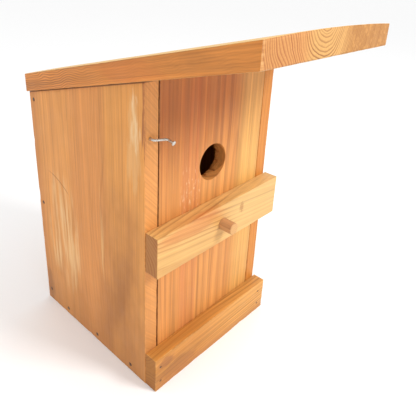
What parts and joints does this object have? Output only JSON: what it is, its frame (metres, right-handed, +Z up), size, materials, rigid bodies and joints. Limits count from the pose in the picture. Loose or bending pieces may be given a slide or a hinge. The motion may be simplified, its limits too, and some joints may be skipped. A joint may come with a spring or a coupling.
{
  "type": "nest box",
  "caption": "Wooden nest box with a sloping roof, a round entrance hole, a perch, two front battens and a tip-out front held by a bent nail.",
  "frame": {"origin": "centre of the box's underside, on the underside of the floor board", "axes": "+X across the front towards the right wall, +Y from the front to the back, +Z up; the entrance faces -Y"},
  "size_m": [0.225, 0.354, 0.435],
  "materials": {
    "wall_wood": "oiled, satin",
    "roof_wood": "oiled, satin",
    "front_wood": "oiled, satin",
    "batten_wood": "oiled, satin",
    "perch_wood": "oiled, satin",
    "bright_steel": "galvanised",
    "dark_steel": "dull, tarnished"
  },
  "bodies": {
    "case": {"left_wall": "wall_wood", "right_wall": "wall_wood", "back_board": "wall_wood", "floor_board": "wall_wood", "roof_board": "roof_wood", "bottom_batten": "batten_wood", "left_floor_nails": "dark_steel", "right_floor_nails": "dark_steel", "left_back_nails": "dark_steel", "right_back_nails": "dark_steel", "back_floor_nails": "dark_steel", "left_roof_nails": "bright_steel", "right_roof_nails": "bright_steel", "back_roof_nails": "bright_steel", "bottom_batten_brads": "dark_steel"},
    "front": {"front_panel": "front_wood", "middle_batten": "batten_wood", "perch_dowel": "perch_wood", "middle_batten_screws": "dark_steel"},
    "latch": {"latch_nail": "bright_steel"}
  },
  "joints": [
    {"name": "front_tilt", "type": "hinge", "parent": "case", "child": "front", "pos_m": [0, -0.112, 0.048], "axis": [1, 0, 0], "range_deg": [0, 5]},
    {"name": "latch_turn", "type": "hinge", "parent": "case", "child": "latch", "pos_m": [-0.0989, -0.112, 0.319], "axis": [0, 1, 0], "range_deg": [0, 270]}
  ],
  "couplings": [
    {"joint": "latch_turn", "follows": "front_tilt", "ratio": 54}
  ]
}
